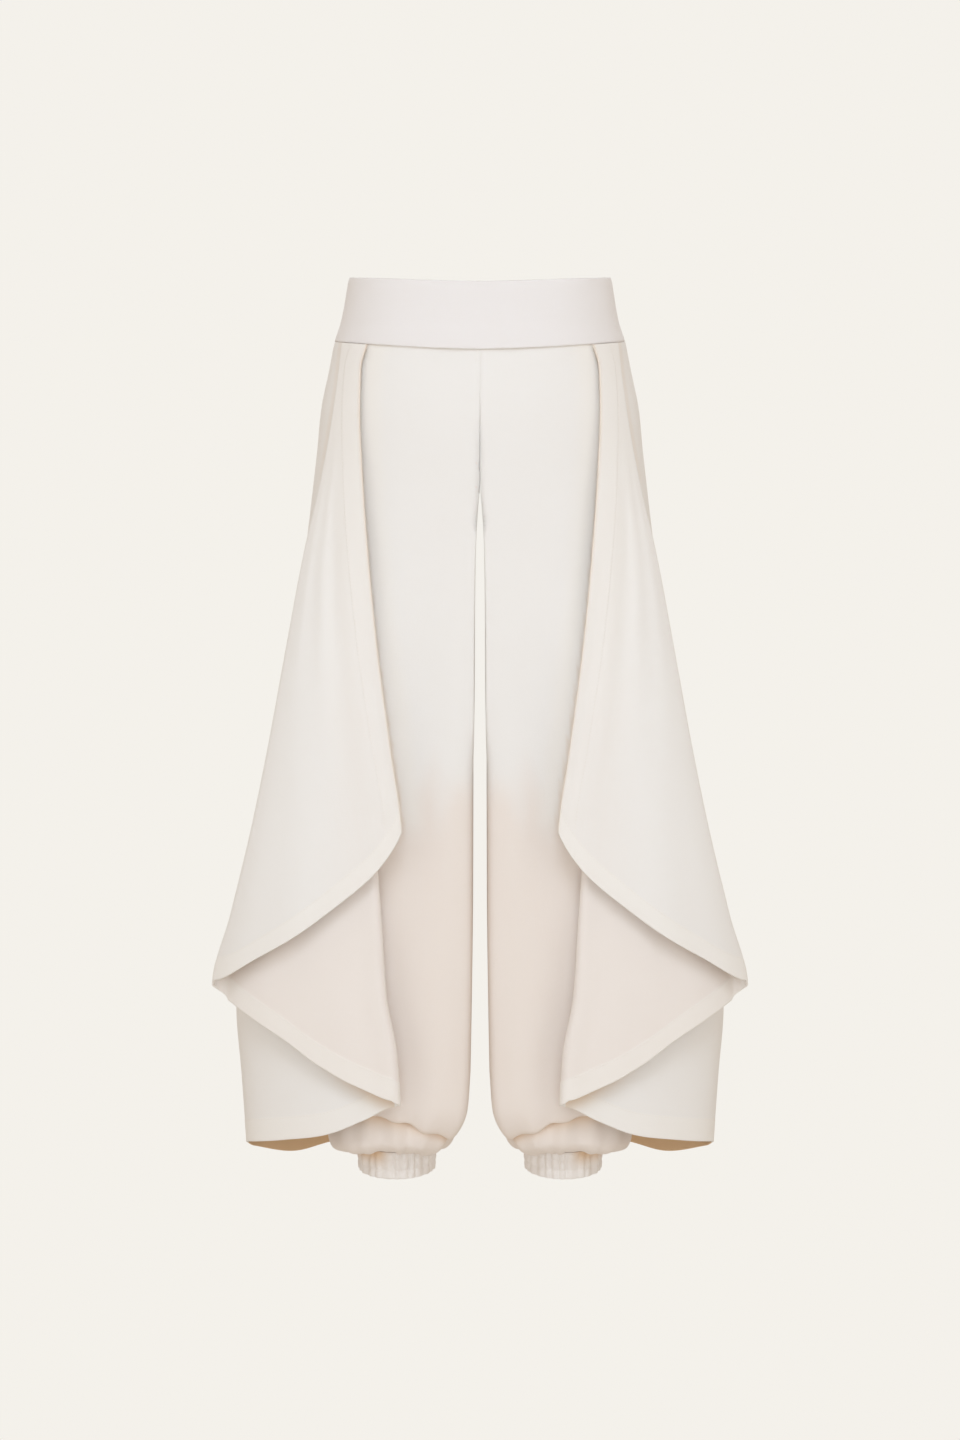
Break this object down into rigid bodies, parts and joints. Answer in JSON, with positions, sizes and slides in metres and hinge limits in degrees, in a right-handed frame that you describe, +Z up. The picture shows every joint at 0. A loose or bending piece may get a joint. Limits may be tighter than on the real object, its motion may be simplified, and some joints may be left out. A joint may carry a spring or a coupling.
{
  "type": "palazzo trousers",
  "caption": "Wide trousers with a plain waistband, full legs gathered into ankle cuffs and an overlay that falls over each side in a stepped cascade of folds.",
  "frame": {"origin": "centre of the waist opening, level with the top edge of the waistband at the side seams", "axes": "+Z up, -Y to the front, +X to the wearer's left"},
  "size_m": [0.5966, 0.2822, 1.0128],
  "materials": {
    "cloth": "matt cream crepe",
    "band_cloth": "matt, slightly rosier cream, doubled"
  },
  "bodies": {
    "root": {"waistband_front": "band_cloth", "waistband_back": "band_cloth", "leg_front_left": "cloth", "leg_front_right": "cloth", "leg_back_left": "cloth", "leg_back_right": "cloth", "cuff_left": "cloth", "cuff_right": "cloth", "drape_front_left": "cloth", "drape_front_right": "cloth", "drape_back_left": "cloth", "drape_back_right": "cloth"}
  },
  "joints": []
}
